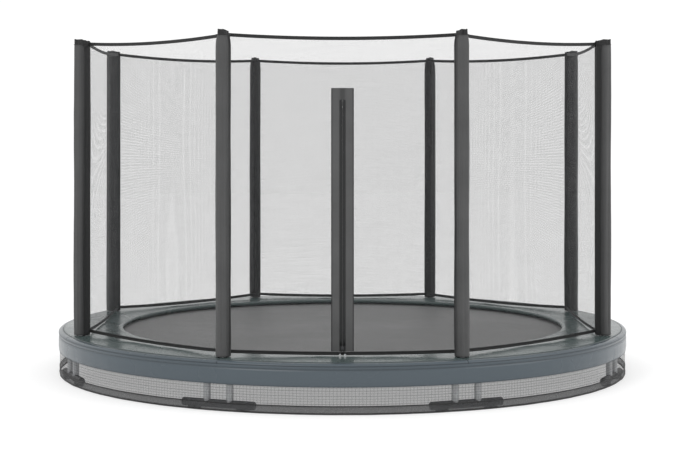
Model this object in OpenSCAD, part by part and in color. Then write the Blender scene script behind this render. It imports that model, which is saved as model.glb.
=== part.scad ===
// Round in-ground trampoline with a pole-and-net safety enclosure.
// Millimetres. +Z is up, the origin is on the ground at the centre, and the door faces -Y.

/* [Overall size] */
// Outside diameter of the edge pad
pad_d = 3660; // [3560:10:3760]
// Height of the pad's top face above the ground
pad_h = 283; // [278:1:300]
// Height of the pole caps above the ground
pole_top = 2100; // [1900:10:2300]

/* [Jumping surface] */
// Diameter of the jumping mat
mat_d = 3060; // [3040:2:3064]
// Outer diameter of a spring's coil
coil_d = 22; // [18:1:24]
// Width of the edge pad, from its inner to its outer edge
pad_w = 410; // [390:5:430]

/* [Base frame] */
// Outer diameter of the top rail's tube
rail_d = 42; // [40:1:44]
// Distance between the two posts of a leg
post_gap = 140; // [110:1:144]
// Outer diameter of a leg's posts
post_d = 39; // [34:1:39]
// Length of the cover on a leg's foot tube
foot_l = 444; // [360:4:448]
// Outer diameter of the cover on a leg's foot tube
foot_d = 46; // [44:1:48]

/* [Poles and net] */
// Outer diameter of a pole
pole_d = 38; // [32:1:38]
// Width of a pole's fabric sleeve, along the rail
sleeve_w = 77; // [74:1:84]
// Depth of a pole's fabric sleeve, towards the centre
sleeve_t = 96; // [90:1:96]
// How far the top band sags between two poles
top_sag = 21; // [0:1:40]
// How far the bottom band sags between two poles
foot_sag = 13; // [0:1:14]

/* [Door] */
// Width of the door's fabric panel
door_w = 126; // [110:2:160]
// Height of the door panel's top edge
door_top = 1774; // [1600:2:1800]

/* [Hidden] */
$fn = 48;
big_fn = 360;
tau = 360;
sides = 8;
step = tau / sides;
panels = [0 : sides - 1];
front = 6;
eps = 0.01;
fit = 0.2;

// Radii and heights that follow from the driving sizes
pad_r = pad_d / 2;
pad_in = pad_r - pad_w;
skin = 2;
rail_r = pad_r - 43;
rail_z = pad_h - 61;
rail_wall = 2;
pole_r = pad_r - 95;
net_r = pad_r - 140;
net_flat = net_r * cos(step / 2);
half_side = net_r * sin(step / 2);
mat_z = pad_h - 33;
mat_r = mat_d / 2;
pad_under = pad_h - 26;

// Legs: the foot tube lies across the leg's own radius
leg_in = 2.6;
leg_x = sqrt(rail_r * rail_r - post_gap * post_gap / 4) - leg_in;
foot_tube_d = 40;
foot_z = 11.5 + foot_d / 2;
foot_tube_l = foot_l - 30;
post_top = rail_z - rail_d / 2 - 2;
spigot_d = post_d - 4.4;
spigot_low = rail_z - 72;
leg_bolt_z = rail_z - 44;
bolt_d = 8;

// Springs stand every 5 degrees, so none meets a pole
springs = 72;
spring_step = tau / springs;
springs_a_rail = springs / sides;
spring_z = mat_z - 7;
coil_in = mat_r + 62;
coil_out = rail_r - 40;
wire_d = 3.2;
anchor_r = rail_r - 14;
hook_r = mat_r + 39;
ring_in = mat_r + 5;
ring_out = mat_r + 50;
ring_t = 4.4;
ring_z = mat_z - 2;
mat_t = 1.2;
web_w = 42;
web_t = 2.6;

// Rail joints lie midway between two springs
joint_a = spring_step / 2;
splice_a = 2;
splice_bolt_a = 1.2;

// Pole brackets and their U-bolts
bracket_w = 100;
plate_in = pole_r + pole_d / 2;
plate_out = sqrt(pow(rail_r - rail_d / 2, 2) - pow(bracket_w / 2, 2)) - 0.3;
socket_d = pole_d + 6;
socket_low = rail_z - 76;
u_rod = 6;
u_r = rail_d / 2 + u_rod / 2 + 0.3;
u_y = 36;
u_leg = 43;
screw_z = socket_low + 19;

// Enclosure heights
pole_low = socket_low + 4.2;
cap_base = pole_top - 42;
pole_high = pole_top - 15;
ring_wire = 6;
hang_r = 16;
hang_x = net_r + 2;
hang_z = pole_top - 29;
lug_t = 8;
sleeve_low = pad_h + 5;
sleeve_high = pole_top - 32;
sleeve_notch = hang_z - hang_r - ring_wire;
sleeve_wall = 2;
slit_in = 10;
sleeve_x = pole_r - 7;
sleeve_end = 19.6;
band_h = 19;
band_t = 5;
foot_band_z = pad_h + 29;
net_t = 1.2;

// Door and zip, in the front panel
door_y = -net_flat;
door_half = door_w / 2;
flap_t = 2;
flap_in = 5;
flap_out = door_half - 3;
flap_low = pad_h + 57;
flap_high = door_top - 106;
zip_high = door_top - 67;
zip_low = pad_h + 26.5;
tape_out = 16;
coil_x = 2.75;
coil_r = 1.55;
slider_low = zip_low + 3.5;
slider_h = 24;
slider_half = 8;
bail_y = door_y - 8.5;
bail_z = slider_low - 7.5;
bail_d = 3;
tab_x = 13.8;
tab_w = 10.8;
tab_l = 20.5;

// Skirt
skirt_r = pad_r - 8;
skirt_t = 1.5;
hem_h = 40;
hem_low = 2;
edge_h = 5;

function pole_angle(k) = step / 2 + step * k;
function slit_side(k) = cos(pole_angle(k)) > 0 ? 1 : -1;
function sag_z(s, z, drop) = z - drop * (1 - pow(s / half_side, 2));
function numbered(name) = [for (k = panels) str(name, "_", k + 1)];
function rim_arc(r0, z0, w, h) = [for (t = [0 : 15 : 90]) [r0 + w * sin(t), z0 + h * cos(t)]];

rails = numbered("rail");
legs = numbered("leg");
poles = numbered("pole");

module at_pole(k) rotate([0, 0, pole_angle(k)]) children();
module at_panel(k) rotate([0, 0, step * k]) children();
module each_pole() for (k = panels) at_pole(k) children();
module each_spring() for (j = [1 : springs]) rotate([0, 0, spring_step * j]) children();

// A 2D profile in (radius, height) turned about the centre from one angle through another
module turned(from, angle) {
    rotate([0, 0, from])
        rotate_extrude(angle = angle, $fn = big_fn)
            children();
}

// A ring of tube along the top rail's line
module rail_arc(from, angle, d) {
    turned(from, angle)
        translate([rail_r, rail_z])
            circle(d = d, $fn = 32);
}

// A bar along the row's own axes: centre of one end, length and diameter
module bar_x(x, y, z, l, d, fn = 32) {
    translate([x, y, z])
        rotate([0, 90, 0])
            cylinder(d = d, h = l, $fn = fn);
}

module bar_y(x, z, l, d) {
    translate([x, l / 2, z])
        rotate([90, 0, 0])
            cylinder(d = d, h = l);
}

// A flat outline in (sideways, up), stood upright and given a thickness towards the centre
module upright(x, t) {
    translate([x, 0, 0])
        rotate([90, 0, 90])
            linear_extrude(t, center = true)
                children();
}

// ---------------------------------------------------------------- top rail and legs

// One bent length of the top rail, with the spigots for its leg and the spring holes
module rail(k) {
    from = step * k + joint_a;
    color("silver")
    difference() {
        union() {
            rail_arc(from + 0.02, step - 0.04, rail_d);
            at_pole(k)
                for (s = [-1, 1])
                    translate([leg_x, s * post_gap / 2, spigot_low])
                        cylinder(d = spigot_d, h = rail_z - spigot_low - 8);
        }
        rail_arc(from - 0.5, step + 1, rail_d - 2 * rail_wall);
        at_pole(k)
            for (s = [-1, 1]) {
                translate([leg_x, s * post_gap / 2, spigot_low - 1])
                    cylinder(d = spigot_d - 6, h = 44);
                bar_x(leg_x - 30, s * post_gap / 2, leg_bolt_z, 60, bolt_d + 0.4);
            }
        for (j = [1 : springs_a_rail])
            rotate([0, 0, step * k + spring_step * j])
                translate([anchor_r, 0, rail_z])
                    cylinder(d = 7, h = 40, $fn = 24);
        for (a = [splice_bolt_a, step - splice_bolt_a])
            rotate([0, 0, from + a])
                translate([rail_r, 0, rail_z - 40])
                    cylinder(d = 6.4, h = 40, $fn = 24);
    }
}

// Short sleeves inside the rail's joints
module rail_splices() {
    color("gainsboro")
    for (k = panels)
        difference() {
            rail_arc(step * k + joint_a - splice_a, 2 * splice_a, rail_d - 2 * rail_wall - 2 * fit);
            rail_arc(step * k + joint_a - 3, 6, rail_d - 2 * rail_wall - 5);
            for (s = [-1, 1])
                rotate([0, 0, step * k + joint_a + s * splice_bolt_a])
                    translate([rail_r, 0, rail_z - 40])
                        cylinder(d = 6.4, h = 40, $fn = 24);
        }
}

module splice_bolts() {
    head_z = rail_z - rail_d / 2 - 4.4;
    color("darkgray")
    for (k = panels, s = [-1, 1])
        rotate([0, 0, step * k + joint_a + s * splice_bolt_a])
            translate([rail_r, 0, head_z]) {
                cylinder(d = 11.5, h = 4, $fn = 6);
                cylinder(d = 6, h = 14, $fn = 24);
            }
}

// Two posts welded to a foot tube
module leg(k) {
    color("lightgray")
    at_pole(k)
        difference() {
            union() {
                bar_y(leg_x, foot_z, foot_tube_l, foot_tube_d);
                for (s = [-1, 1])
                    translate([leg_x, s * post_gap / 2, foot_z])
                        cylinder(d = post_d, h = post_top - foot_z);
            }
            bar_y(leg_x, foot_z, foot_tube_l + 2, foot_tube_d - 4);
            for (s = [-1, 1]) {
                translate([leg_x, s * post_gap / 2, foot_z + foot_tube_d / 2 + 2])
                    cylinder(d = post_d - 4, h = post_top);
                bar_x(leg_x - 30, s * post_gap / 2, leg_bolt_z, 60, bolt_d + 0.4);
            }
        }
}

module leg_bolts() {
    color("darkgray")
    each_pole()
        for (s = [-1, 1]) {
            bar_x(leg_x + post_d / 2 + 0.3, s * post_gap / 2, leg_bolt_z, 5, 15, 6);
            bar_x(leg_x - 28, s * post_gap / 2, leg_bolt_z, 28 + post_d / 2 + 1, bolt_d);
            difference() {
                bar_x(leg_x - post_d / 2 - 6.6, s * post_gap / 2, leg_bolt_z, 6.3, 15, 6);
                bar_x(leg_x - 28, s * post_gap / 2, leg_bolt_z, 28, bolt_d + 0.1);
            }
        }
}

// Closed, round-ended cover on each foot tube, notched for the posts
module foot_covers() {
    r = foot_d / 2;
    c = 8;
    end = [for (t = [0 : 15 : 90]) [r - c + c * sin(t), foot_l / 2 - c + c * cos(t)]];
    far_end = [for (p = [len(end) - 1 : -1 : 0]) [end[p][0], -end[p][1]]];
    color("#3a3c3f")
    each_pole()
        difference() {
            translate([leg_x, 0, foot_z])
                rotate([90, 0, 0])
                    rotate_extrude()
                        polygon(concat([[0, foot_l / 2]], end, far_end, [[0, -foot_l / 2]]));
            bar_y(leg_x, foot_z, foot_tube_l + 1, foot_tube_d + 0.4);
            for (s = [-1, 1])
                translate([leg_x, s * post_gap / 2, foot_z])
                    cylinder(d = post_d + 1.2, h = foot_d);
        }
}

module foot_pads() {
    color("#202022")
    each_pole()
        for (s = [-1, 1])
            difference() {
                translate([leg_x - 22, s * 150 - 30, 0])
                    cube([44, 60, foot_z - foot_d / 2 + 10.5]);
                bar_y(leg_x, foot_z, foot_l + 20, foot_d + 0.1);
            }
}

// ---------------------------------------------------------------- poles

module pole_brackets() {
    color("silver")
    each_pole()
        difference() {
            union() {
                translate([pole_r, 0, socket_low])
                    cylinder(d = socket_d, h = pad_under - 5 - socket_low);
                translate([plate_in, -bracket_w / 2, rail_z - 34])
                    cube([plate_out - plate_in, bracket_w, 68]);
            }
            translate([pole_r, 0, socket_low + 4])
                cylinder(d = pole_d + 0.5, h = 200);
            for (s = [-1, 1], u = [-1, 1])
                bar_x(plate_in - 10, s * u_y, rail_z + u * u_r, 40, u_rod + 0.6, 24);
            bar_x(pole_r - 40, 0, screw_z, 40, bolt_d + 0.4);
        }
}

module u_bolts() {
    color("darkgray")
    each_pole()
        for (s = [-1, 1])
            translate([rail_r, s * u_y, rail_z]) {
                rotate([90, 0, 0])
                    rotate([0, 0, -90])
                        rotate_extrude(angle = 180)
                            translate([u_r, 0])
                                circle(d = u_rod, $fn = 24);
                for (u = [-1, 1])
                    bar_x(-u_leg, 0, u * u_r, u_leg, u_rod, 24);
            }
}

module u_bolt_nuts() {
    color("gray")
    each_pole()
        for (s = [-1, 1], u = [-1, 1])
            difference() {
                bar_x(plate_in - 5.3, s * u_y, rail_z + u * u_r, 5.2, 11.5, 6);
                bar_x(plate_in - 6, s * u_y, rail_z + u * u_r, 7, u_rod + 0.1, 24);
            }
}

module pole(k) {
    color("lightgray")
    at_pole(k)
        difference() {
            translate([pole_r, 0, pole_low])
                cylinder(d = pole_d, h = pole_high - pole_low);
            translate([pole_r, 0, pole_low - 1])
                cylinder(d = pole_d - 3, h = pole_top);
            bar_x(pole_r - 40, 0, screw_z, 40, bolt_d + 0.4);
        }
}

module pole_screws() {
    color("darkgray")
    each_pole() {
        bar_x(pole_r - socket_d / 2 - 6.5, 0, screw_z, 6, 15, 6);
        bar_x(pole_r - socket_d / 2 - 1, 0, screw_z, 12, bolt_d, 24);
    }
}

module pole_foams() {
    color("#4b4d4f")
    each_pole()
        difference() {
            translate([pole_r, 0, sleeve_low + 2])
                cylinder(d = sleeve_w - 7, h = sleeve_notch - 3 - sleeve_low);
            translate([pole_r, 0, sleeve_low])
                cylinder(d = pole_d + 0.6, h = pole_top);
        }
}

// An upright oval column, longer towards the centre
module oval(inset, z, h) {
    r = sleeve_w / 2 - inset;
    reach = (sleeve_t - sleeve_w) / 2;
    translate([sleeve_x, 0, z]) {
        for (s = [-1, 1])
            translate([s * reach, 0, 0])
                cylinder(r = r, h = h);
        translate([-reach, -r, 0])
            cube([2 * reach, 2 * r, h]);
    }
}

module pole_sleeves() {
    color("#56585a")
    each_pole()
        difference() {
            oval(0, sleeve_low, sleeve_high - sleeve_low);
            oval(sleeve_wall, sleeve_low - 1, pole_top);
            translate([sleeve_x - sleeve_t, -sleeve_w, sleeve_notch])
                cube([sleeve_t - 18, 2 * sleeve_w, 100]);
        }
}

// Cup over the pole's end with a plug inside it, a shallow dome and the lug for the ring
module pole_caps() {
    r = pole_d / 2 + 3;
    dome_h = 12;
    dome_r = (r * r + dome_h * dome_h) / (2 * dome_h);
    color("#1d1d1f")
    each_pole()
        translate([pole_r, 0, 0])
            difference() {
                union() {
                    translate([0, 0, cap_base])
                        cylinder(r = r, h = pole_top - dome_h - cap_base);
                    intersection() {
                        translate([0, 0, pole_top - dome_r])
                            sphere(r = dome_r, $fn = 72);
                        translate([0, 0, pole_top - dome_h])
                            cylinder(r = r, h = dome_h + 1);
                    }
                    translate([hang_x + hang_r - 8 - pole_r, -7, hang_z - lug_t / 2])
                        cube([20, 14, lug_t]);
                }
                difference() {
                    translate([0, 0, cap_base - 1])
                        cylinder(d = pole_d + 0.4, h = pole_high + fit - cap_base + 1);
                    cylinder(d = pole_d - 3.4, h = pole_top);
                }
                translate([hang_x + hang_r - pole_r, 0, hang_z - lug_t])
                    cylinder(d = 9.2, h = 2 * lug_t);
            }
}

module top_rings() {
    color("#1d1d1f")
    each_pole()
        translate([hang_x, 0, hang_z])
            rotate([90, 0, 0])
                rotate_extrude()
                    translate([hang_r, 0])
                        circle(d = ring_wire, $fn = 24);
}

// ---------------------------------------------------------------- net and door

// The edges of a panel's outline between two distances along it, following a sag
function edge_line(a, b, z, drop, shift) =
    [for (i = [0 : 12]) let (s = a + (b - a) * i / 12) [s, sag_z(s, z, drop) + shift]];
function back_line(a, b, z, drop, shift) =
    [for (i = [12 : -1 : 0]) let (s = a + (b - a) * i / 12) [s, sag_z(s, z, drop) + shift]];

module band_outline(half, z, drop) {
    polygon(concat(
        edge_line(-half, half, z, drop, -band_h / 2),
        back_line(-half, half, z, drop, band_h / 2)
    ));
}

module top_band() {
    color("#27282a")
    for (k = panels)
        at_panel(k)
            upright(net_flat, band_t)
                band_outline(half_side - 3, hang_z, top_sag);
}

module bottom_band() {
    color("#27282a")
    for (k = panels)
        at_panel(k)
            upright(net_flat, band_t)
                band_outline(half_side - sleeve_end, foot_band_z, foot_sag);
}

// A stretch of net between the two bands, or from a given height up to the top band
module net_stretch(a, b, low = 0) {
    top = back_line(a, b, hang_z, top_sag, -band_h / 2 - fit);
    foot = edge_line(a, b, foot_band_z, foot_sag, band_h / 2 + fit);
    upright(net_flat, net_t)
        polygon(concat(low > 0 ? [[a, low], [b, low]] : foot, top));
}

module safety_net() {
    edge = half_side - sleeve_end;
    door = door_half + 0.5;
    color("#8a8c8e", 0.4)
    for (k = panels)
        at_panel(k)
            if (k == front) {
                net_stretch(-edge, -door);
                net_stretch(door, edge);
                net_stretch(-door + fit, door - fit, door_top + fit);
            } else {
                net_stretch(-edge, edge);
            }
}

// A block in the front panel: side span, depth from the net's plane and height span
module door_block(x0, x1, d0, d1, z0, z1) {
    translate([x0, door_y + d0, z0])
        cube([x1 - x0, d1 - d0, z1 - z0]);
}

// The stretches below and above the flaps, parted as far as the zip reaches
module door_end_panels() {
    color("#5c5d5f") {
        for (s = [-1, 1])
            door_block(min(s * flap_in, s * door_half), max(s * flap_in, s * door_half),
                -flap_t / 2, flap_t / 2, zip_low, flap_low - 0.5);
        difference() {
            door_block(-door_half, door_half, -flap_t / 2, flap_t / 2, flap_high + 0.5, door_top);
            door_block(-flap_in, flap_in, -flap_t, flap_t, flap_high, zip_high + 0.2);
        }
    }
}

module door_flap() {
    color("#5c5d5f")
        door_block(-flap_out, -flap_in, -flap_t / 2, flap_t / 2, flap_low, flap_high);
}

module zip_tape(z0, z1) {
    color("#232426")
        door_block(-tape_out, coil_r - coil_x - 3.4, -2, -1, z0, z1);
}

module zip_coil(z0, z1) {
    color("#2c2d30")
        translate([-coil_x, door_y - 1.5, z0])
            cylinder(r = coil_r, h = z1 - z0, $fn = 24);
}

// The stretches of zip that never open, with a stop at each end
module zip_ends() {
    for (z = [[zip_low, flap_low - 0.5], [flap_high + 0.5, zip_high]], m = [0, 1])
        mirror([m, 0, 0]) {
            zip_tape(z[0], z[1]);
            zip_coil(z[0] + 3.2, z[1] - 3.2);
        }
    color("dimgray")
    for (z = [zip_low, zip_high - 3])
        door_block(-4.2, 4.2, -3, -0.2, z, z + 3);
}

module zip_slider() {
    top = slider_low + slider_h;
    front_face = -5.5;
    color("#4a4b4e") {
        difference() {
            union() {
                door_block(-slider_half, slider_half, front_face, -3.4, slider_low, top);
                for (s = [-1, 1])
                    door_block(s * 7.2 - 0.8, s * 7.2 + 0.8, -3.5, -2.4, slider_low, top);
                door_block(-slider_half, slider_half, 1.4, 3.2, slider_low, top);
                door_block(-0.7, 0.7, -3.5, 1.5, slider_low, slider_low + 9);
                for (s = [-1, 1])
                    door_block(s * 5 - 2, s * 5 + 2, front_face - 6, front_face + 1,
                        bail_z - 3, slider_low + 5);
            }
            bar_x(-30, bail_y, bail_z, 60, bail_d - 0.6, 24);
        }
        bar_x(-20.6, bail_y, bail_z, 41.2, bail_d, 24);
        for (s = [-1, 1])
            bar_x(s * 20.4 - 0.8, bail_y, bail_z, 1.6, 5.4, 24);
    }
}

// A flat tab with a round eye, hanging on the bail
module pull_tab() {
    bore = bail_d + 0.12;
    eye = 6.4;
    color("gainsboro")
    difference() {
        union() {
            bar_x(tab_x - tab_w / 2, bail_y, bail_z, tab_w, eye, 32);
            translate([tab_x - tab_w / 2, bail_y - 1, bail_z - tab_l + 3])
                cube([tab_w, 2, tab_l - 3]);
            translate([tab_x, bail_y + 1, bail_z - tab_l + tab_w / 2])
                rotate([90, 0, 0])
                    cylinder(d = tab_w, h = 2);
        }
        bar_x(tab_x - tab_w, bail_y, bail_z, 2 * tab_w, bore, 32);
    }
}

// ---------------------------------------------------------------- pad and skirt

module pole_hole(d, z) {
    translate([pole_r, 0, z])
        cylinder(d = d, h = 100);
}

// Top sheet, rounded rim and side valance, in eight sewn lengths, slit at each pole
module pad_cover() {
    rim = 30;
    rim_h = 21;
    low = pad_h - 133;
    over = rim_arc(pad_r - rim, pad_h - rim_h, rim, rim_h);
    under = rim_arc(pad_r - rim, pad_h - rim_h, rim - skin, rim_h - skin);
    back = [for (i = [len(under) - 1 : -1 : 0]) under[i]];
    outer = concat([[pad_in, pad_under + 0.5], [pad_in, pad_h]], over, [[pad_r, low]]);
    inner = concat([[pad_r - skin, low]], back,
        [[pad_in + skin, pad_h - skin], [pad_in + skin, pad_under + 0.5]]);
    color("#6b757b")
    for (k = panels)
        difference() {
            turned(pole_angle(k) + 0.005, step - 0.01)
                polygon(concat(outer, inner));
            for (e = [k, k + 1])
                at_pole(e) {
                    pole_hole(pole_d + 8, pad_under);
                    translate([pole_r, -slit_side(e) * slit_in - 0.6, pad_h - rim_h])
                        cube([200, 1.2, 100]);
                }
        }
}

// Foam slabs, one to each length of the pad
module pad_foam() {
    r = pad_r - 32;
    color("#d8d8d2")
    for (k = panels)
        difference() {
            turned(pole_angle(k) + 0.01, step - 0.02)
                polygon(concat(
                    [[pad_in + 3, pad_under + 1.5], [pad_in + 3, pad_h - 2.2]],
                    rim_arc(r, pad_h - 22.2, 28, 20),
                    [[r + 28, pad_under + 1.5]]
                ));
            for (e = [k, k + 1])
                at_pole(e)
                    pole_hole(pole_d + 10, pad_under);
        }
}

module pad_underside() {
    color("#3f4346")
    difference() {
        turned(0, tau)
            translate([pad_in + 2.3, pad_under])
                square([pad_w - 6.3, skin - 0.8]);
        each_pole()
            pole_hole(pole_d + 10, pad_under - 1);
    }
}

module skirt_mesh() {
    color("#8f9193", 0.7)
    for (k = panels)
        turned(pole_angle(k) + 0.005, step - 0.01)
            translate([skirt_r, hem_low + edge_h + hem_h + 0.2])
                square([skirt_t, pad_under - 0.1 - hem_low - edge_h - hem_h - 0.2]);
}

// Doubled hem with a bound lower edge
module skirt_hem() {
    low = hem_low + edge_h;
    color("#55575a")
    for (k = panels)
        turned(pole_angle(k) + 0.005, step - 0.01) {
            translate([skirt_r - 0.5, low - eps])
                square([skirt_t + 1, hem_h + eps]);
            translate([skirt_r - 1.5, hem_low])
                square([skirt_t + 3, edge_h]);
        }
}

// ---------------------------------------------------------------- jumping surface

module mat() {
    color("#2f3133")
        translate([0, 0, mat_z - mat_t / 2])
            cylinder(r = mat_r, h = mat_t, $fn = big_fn);
}

// Webbing sewn under the mat's edge, with a loop around each V-ring's bar
module mat_webbing() {
    color("#1f2022")
    difference() {
        union() {
            turned(0, tau)
                translate([mat_r - web_w, mat_z - mat_t / 2 - web_t])
                    square([web_w + eps, web_t]);
            each_spring()
                translate([mat_r - 2, -14, ring_z - ring_t / 2 - 1.4])
                    cube([15, 28, mat_z + mat_t / 2 + 1 - ring_z + ring_t / 2 + 1.4]);
        }
        translate([0, 0, mat_z - mat_t / 2])
            cylinder(r = mat_r, h = mat_t, $fn = big_fn);
        translate([0, 0, mat_z + mat_t / 2])
            cylinder(r = mat_r, h = 10, $fn = big_fn);
        each_spring()
            translate([ring_in - 0.3, -30, ring_z - ring_t / 2 - 0.2])
                cube([5.1, 60, ring_t + 0.4]);
    }
}

// Triangular steel rings, apex outwards
module v_rings() {
    color("silver")
    each_spring()
        translate([0, 0, ring_z - ring_t / 2])
            linear_extrude(ring_t)
                difference() {
                    polygon([[ring_in, -24], [ring_out, -5], [ring_out, 5], [ring_in, 24]]);
                    polygon([
                        [ring_in + 4.5, -17], [ring_out - 6, -2.6],
                        [ring_out - 6, 2.6], [ring_in + 4.5, 17]
                    ]);
                }
}

// The coil stands as a plain cylinder with a flat hook at each end
module springs() {
    hook_w = wire_d / 2;
    color("gainsboro")
    each_spring() {
        bar_x(coil_in, 0, spring_z, coil_out - coil_in, coil_d, 24);
        translate([hook_r - hook_w, -hook_w, spring_z - hook_w])
            cube([coil_in - hook_r + 2 * wire_d, wire_d, wire_d]);
        translate([hook_r - hook_w, -hook_w, spring_z])
            cube([wire_d, wire_d, 9.5]);
        translate([coil_out - wire_d, -hook_w, spring_z - hook_w])
            cube([anchor_r - coil_out + 1.5 * wire_d, wire_d, wire_d]);
        translate([anchor_r - hook_w, -hook_w, rail_z + 4])
            cube([wire_d, wire_d, spring_z - rail_z - 4]);
    }
}

for (k = panels) {
    rail(k);
    leg(k);
    pole(k);
}
rail_splices();
splice_bolts();
leg_bolts();
foot_covers();
foot_pads();
pole_brackets();
u_bolts();
u_bolt_nuts();
pole_screws();
pole_foams();
pole_sleeves();
pole_caps();
top_rings();
top_band();
bottom_band();
safety_net();
door_end_panels();
door_flap();  // door_flap_left
mirror([1, 0, 0]) door_flap();  // door_flap_right
zip_tape(flap_low, flap_high);  // zip_tape_left
mirror([1, 0, 0]) zip_tape(flap_low, flap_high);  // zip_tape_right
zip_coil(flap_low, flap_high);  // zip_coil_left
mirror([1, 0, 0]) zip_coil(flap_low, flap_high);  // zip_coil_right
zip_ends();
zip_slider();
mirror([1, 0, 0]) pull_tab();  // pull_tab_left
pull_tab();  // pull_tab_right
pad_cover();
pad_foam();
pad_underside();
skirt_mesh();
skirt_hem();
mat();
mat_webbing();
v_rings();
springs();
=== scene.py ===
"""A round in-ground trampoline with its net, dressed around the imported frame.

Metres, in the frame's own axes: the centre on the ground is the origin, +Z is up and the door faces -Y.
"""

import math

import bmesh
import bpy
import numpy as np
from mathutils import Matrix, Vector


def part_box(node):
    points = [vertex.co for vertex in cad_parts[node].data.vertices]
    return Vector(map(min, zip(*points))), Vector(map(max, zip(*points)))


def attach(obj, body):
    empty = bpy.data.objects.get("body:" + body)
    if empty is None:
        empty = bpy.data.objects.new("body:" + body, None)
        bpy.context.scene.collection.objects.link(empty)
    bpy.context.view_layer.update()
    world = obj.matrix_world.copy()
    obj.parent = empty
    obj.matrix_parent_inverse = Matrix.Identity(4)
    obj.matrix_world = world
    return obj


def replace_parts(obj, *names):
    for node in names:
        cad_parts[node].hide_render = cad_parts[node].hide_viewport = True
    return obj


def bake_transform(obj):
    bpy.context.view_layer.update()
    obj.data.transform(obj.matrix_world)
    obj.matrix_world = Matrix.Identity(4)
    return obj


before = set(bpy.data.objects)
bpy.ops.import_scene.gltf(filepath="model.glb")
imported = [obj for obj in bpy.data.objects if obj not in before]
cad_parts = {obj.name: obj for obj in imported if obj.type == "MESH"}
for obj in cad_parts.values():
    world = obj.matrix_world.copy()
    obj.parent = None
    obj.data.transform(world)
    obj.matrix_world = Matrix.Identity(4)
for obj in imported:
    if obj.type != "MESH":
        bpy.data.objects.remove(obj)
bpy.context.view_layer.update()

# ------------ sizes taken from the frame

SIDES = 8
STEP = math.tau / SIDES
FRONT = 6
POLES = [STEP / 2 + STEP * k for k in range(SIDES)]
PANELS = [STEP * k for k in range(SIDES)]

pad_low, pad_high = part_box("pad_cover")
pad_r, pad_top, pad_bottom = pad_high.x, pad_high.z, pad_low.z
UNDERSIDE_W = 0.4037
pad_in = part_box("pad_underside")[1].x - UNDERSIDE_W
pad_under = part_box("pad_underside")[0].z
RIM_W, RIM_H = 0.030, 0.021
seam_r, seam_z = pad_r - RIM_W, pad_top - RIM_H

pole_low, pole_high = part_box("pole_1")
pole_r = ((pole_low + pole_high) / 2).xy.length

HALF_NET = 0.0006
net_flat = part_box("safety_net")[1].x - HALF_NET
half_side = net_flat * math.tan(STEP / 2)
ring_low, ring_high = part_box("top_rings")
top_z = (ring_low.z + ring_high.z) / 2
BAND_H, TOP_SAG, FOOT_SAG = 0.019, 0.021, 0.013
foot_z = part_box("bottom_band")[1].z - BAND_H / 2
SLEEVE_REACH, NET_LAP = 0.0196, 0.002

sleeve_low, sleeve_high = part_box("pole_sleeves")
SLEEVE_W, SLEEVE_T = 0.076, 0.097
sleeve_r = pole_r - 0.007
sleeve_top = sleeve_high.z

door_low, door_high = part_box("door_end_panels")
door_y, door_half = -net_flat, door_high.x
flap_low, flap_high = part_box("door_flap_left")
FLAP_IN = -flap_high.x

mat_low, mat_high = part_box("mat")
mat_r, mat_z = mat_high.x, (mat_low.z + mat_high.z) / 2
rings_low, rings_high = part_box("v_rings")
ring_z = (rings_low.z + rings_high.z) / 2

SPRINGS = 72
spring_z = mat_z - 0.007
coil_in, coil_out = mat_r + 0.062, pad_r - 0.083
anchor_r, hook_r = pad_r - 0.057, mat_r + 0.039
COIL_R, WIRE_R = 0.0110, 0.0016
RING_BAR = 0.0072
SPRING_TURNS = [math.tau / SPRINGS * n for n in range(1, SPRINGS + 1)]

skirt_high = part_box("skirt_mesh")[1]
hem_low, hem_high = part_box("skirt_hem")
skirt_r = pad_r - 0.0072

slider_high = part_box("zip_slider")[1]
tab_low, tab_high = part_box("pull_tab_right")

# ------------ mesh building

RIGHT, BACK, UP = np.eye(3)


def unit(rows):
    """Each row's vector at a length of 1."""
    return rows / np.linalg.norm(rows, axis=1)[:, None]


def turned(angle, x, y, z):
    """Points given as outwards, sideways and up, turned to an angle about the centre."""
    angle, x, y, z = np.broadcast_arrays(angle, np.asarray(x, float), y, z)
    c, s = np.cos(angle), np.sin(angle)
    return np.stack([x * c - y * s, x * s + y * c, z], -1)


def outward(angle):
    return turned(angle, 1.0, 0.0, 0.0)


def patch(points, across, along, wrap=False, **tones):
    """A surface through rows of points; across and along are their places on the material in metres."""
    rows, cols = points.shape[:2]
    spans = cols if wrap else cols - 1
    i, j = np.meshgrid(np.arange(rows - 1), np.arange(spans), indexing="ij")
    k = (j + 1) % cols
    quads = np.stack([i * cols + j, i * cols + k, (i + 1) * cols + k, (i + 1) * cols + j], -1)
    u = np.broadcast_to(across, (rows, spans + 1))
    v = np.broadcast_to(np.reshape(along, (rows, 1)), (rows, spans + 1))
    place = np.stack([u, v], -1)
    uv = np.stack([place[i, j], place[i, j + 1], place[i + 1, j + 1], place[i + 1, j]], 2)
    tones = {n: np.broadcast_to(t, (rows, cols)).reshape(-1) for n, t in tones.items()}
    return {"v": points.reshape(-1, 3), "f": quads.reshape(-1, 4), "uv": uv.reshape(-1, 2), "t": tones}


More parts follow.
